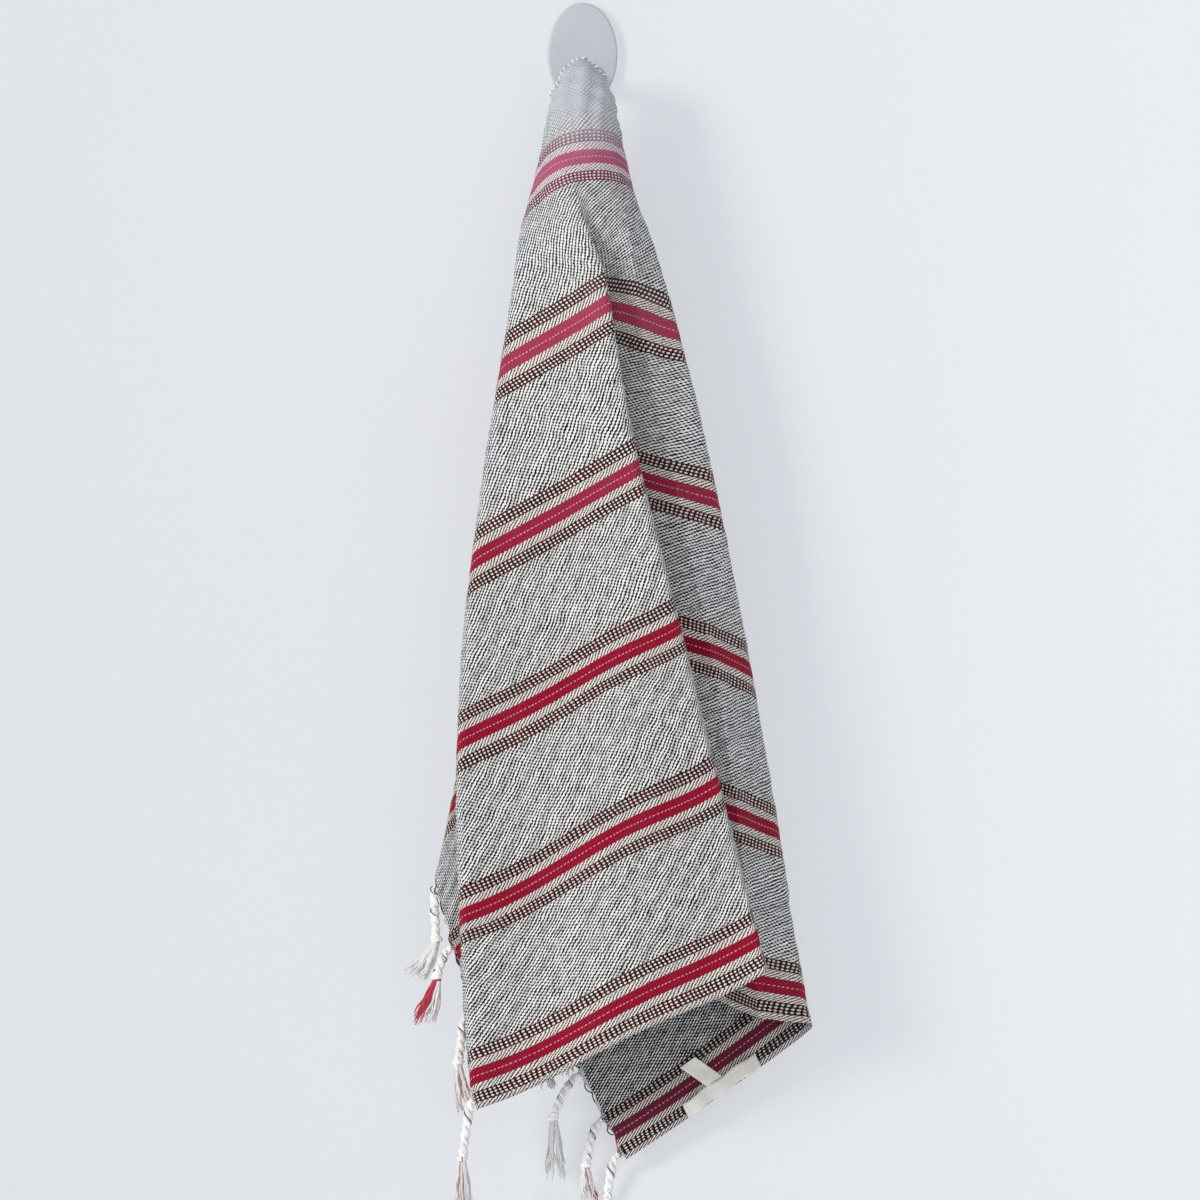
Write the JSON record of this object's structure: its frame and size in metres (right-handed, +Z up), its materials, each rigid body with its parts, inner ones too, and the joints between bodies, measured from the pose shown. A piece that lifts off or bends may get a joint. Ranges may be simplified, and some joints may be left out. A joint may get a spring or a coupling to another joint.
{
  "type": "hammam towel on a wall hook",
  "caption": "Striped handwoven cotton hammam towel with tasselled ends, hung by the middle of a long edge from a plain wall hook with an oval plate.",
  "frame": {"origin": "middle of the hook plate's back face, on the wall", "axes": "+Z up, +Y into the wall, +X to the right of someone who faces the wall; the towel hangs in front of the wall towards -Y"},
  "size_m": [0.2158, 0.1012, 0.7045],
  "materials": {
    "towel_cotton": "matte, handwoven cotton in white and near-black with crimson, cream and dark maroon stripes",
    "fringe_yarn": "matte, twisted white and pinkish cotton yarn with some crimson ends",
    "label_tape": "matte, plain cream cotton tape",
    "hook_paint": "satin light grey paint"
  },
  "bodies": {
    "root": {"towel_cloth": "towel_cotton", "fringe_left": "fringe_yarn", "fringe_right": "fringe_yarn", "name_label": "label_tape", "care_label": "label_tape", "hook_plate": "hook_paint", "hook_peg": "hook_paint"}
  },
  "joints": []
}
